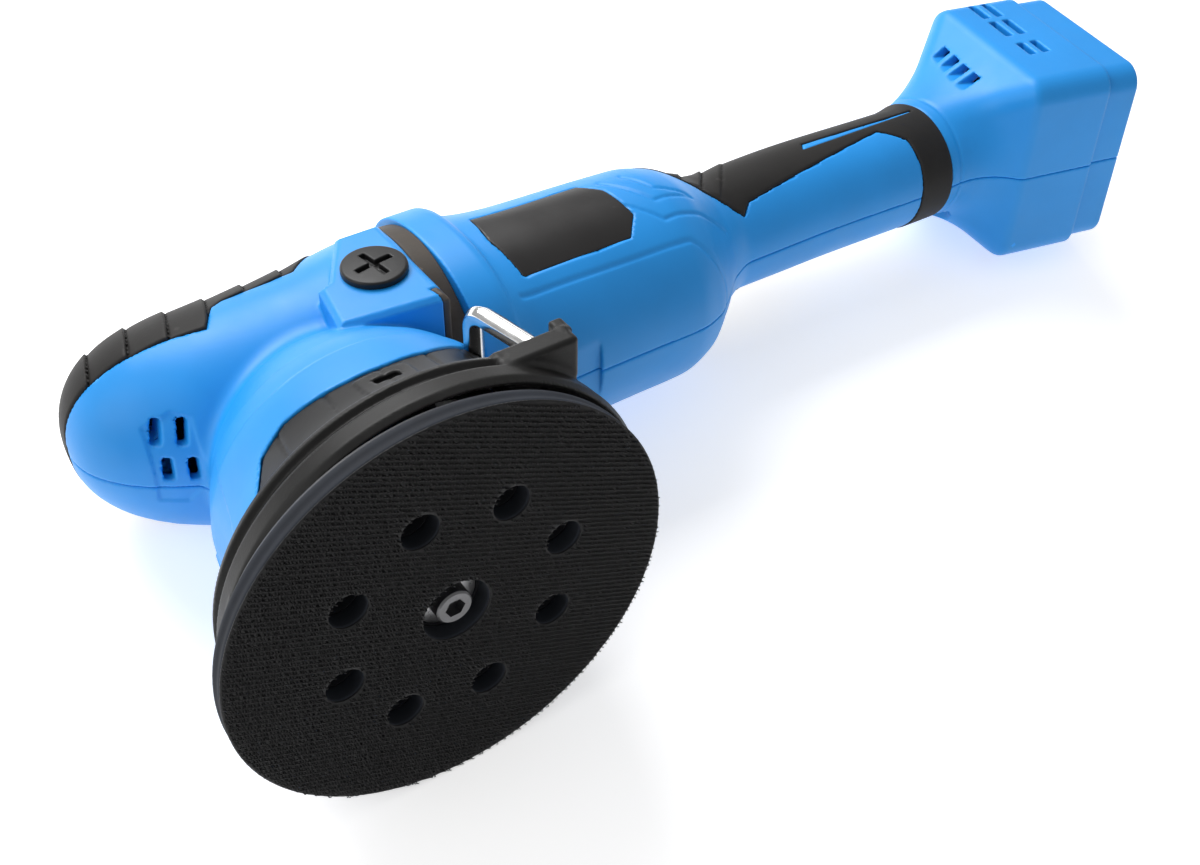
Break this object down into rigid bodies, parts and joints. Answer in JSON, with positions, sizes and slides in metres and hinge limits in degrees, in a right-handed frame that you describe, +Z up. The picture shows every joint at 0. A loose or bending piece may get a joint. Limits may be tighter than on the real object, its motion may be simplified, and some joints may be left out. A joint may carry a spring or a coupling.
{
  "type": "dual action polisher",
  "caption": "Cordless dual action polisher with an eccentric hook-and-loop pad, clamshell body, grip handle and battery socket.",
  "frame": {"origin": "at the centre of the pad's working face, 4 mm forward of the drive spindle axis", "axes": "+Z up along the drive spindle away from the work, +X rearwards along the body to the battery socket, -Y the side with the data plate; the pad is at its forward throw"},
  "size_m": [0.3918, 0.125, 0.1375],
  "materials": {
    "blue_shell": "moulded satin plastic, fine spark-eroded grain",
    "grip_rubber": "soft overmoulded rubber, matt",
    "strap_rubber": "warm dark grey rubber strap, matt",
    "black_plastic": "black moulded plastic, satin",
    "shroud_rubber": "black flexible rubber with a slight sheen",
    "label_film": "black printed film, left blank",
    "hook_fabric": "black hook-and-loop hooks in rows",
    "pad_foam": "dense black polyurethane foam",
    "pad_plate": "glass-filled nylon, blue-grey",
    "chrome_key": "bright zinc-plated tool steel",
    "steel": "ground steel",
    "dark_steel": "blackened steel",
    "cast_alloy": "die-cast aluminium",
    "copper": "copper segments",
    "magnet": "ferrite",
    "fan_plastic": "natural nylon",
    "board_green": "circuit board with solder mask",
    "brass_blade": "plated contact blades",
    "wire_red": "insulated leads",
    "screw_zinc": "yellow-passivated screws",
    "carbon": "carbon in brass holders"
  },
  "bodies": {
    "body": {"left_shell": "blue_shell", "right_shell": "blue_shell", "front_grip": "grip_rubber", "rear_grip": "grip_rubber", "strap_band": "strap_rubber", "label_plate": "label_film", "left_plug": "black_plastic", "right_plug": "black_plastic", "neck_skirt": "black_plastic", "shroud_ring": "shroud_rubber", "gear_housing": "cast_alloy", "bearing_cover": "steel", "cover_screws": "dark_steel", "lower_bearing": "steel", "upper_bearing": "steel", "front_motor_bearing": "steel", "motor_can": "steel", "rear_motor_bearing": "steel", "motor_magnets": "magnet", "carbon_brushes": "carbon", "control_board": "board_green", "switch_body": "black_plastic", "speed_control": "black_plastic", "terminal_block": "black_plastic", "terminal_blades": "brass_blade", "guide_rails": "black_plastic", "wiring": "wire_red", "housing_screws": "screw_zinc"},
    "rotor": {"rotor_shaft": "steel", "rotor_core": "dark_steel", "commutator": "copper", "cooling_fan": "fan_plastic", "pinion_gear": "dark_steel"},
    "spindle": {"drive_spindle": "steel", "bevel_gear": "dark_steel", "counterweight": "cast_alloy", "eccentric_bearing": "steel"},
    "pad": {"output_spindle": "dark_steel", "backing_plate": "pad_plate", "foam_layer": "pad_foam", "hook_face": "hook_fabric", "pad_washer": "dark_steel", "pad_screw": "dark_steel"},
    "switch": {"switch_button": "black_plastic"},
    "dial": {"speed_dial": "grip_rubber"},
    "key": {"hex_key": "chrome_key"}
  },
  "joints": [
    {"name": "spindle_spin", "type": "hinge", "parent": "body", "child": "spindle", "pos_m": [0.004, 0, 0.06], "axis": [0, 0, 1], "continuous": true},
    {"name": "rotor_spin", "type": "hinge", "parent": "body", "child": "rotor", "pos_m": [0.094, 0, 0.095], "axis": [1, 0, 0], "continuous": true},
    {"name": "pad_spin", "type": "hinge", "parent": "spindle", "child": "pad", "pos_m": [0, 0, 0.01], "axis": [0, 0, 1], "continuous": true},
    {"name": "switch_slide", "type": "slide", "parent": "body", "child": "switch", "axis": [1, 0, 0], "range_m": [0, 0.005]},
    {"name": "speed_turn", "type": "hinge", "parent": "body", "child": "dial", "pos_m": [0.23, 0, 0.1115], "axis": [0, 1, 0], "range_deg": [0, 250]},
    {"name": "key_pull", "type": "slide", "parent": "body", "child": "key", "axis": [0, -1, 0], "range_m": [0, 0.062]}
  ],
  "couplings": [
    {"joint": "rotor_spin", "follows": "spindle_spin", "ratio": 3}
  ]
}
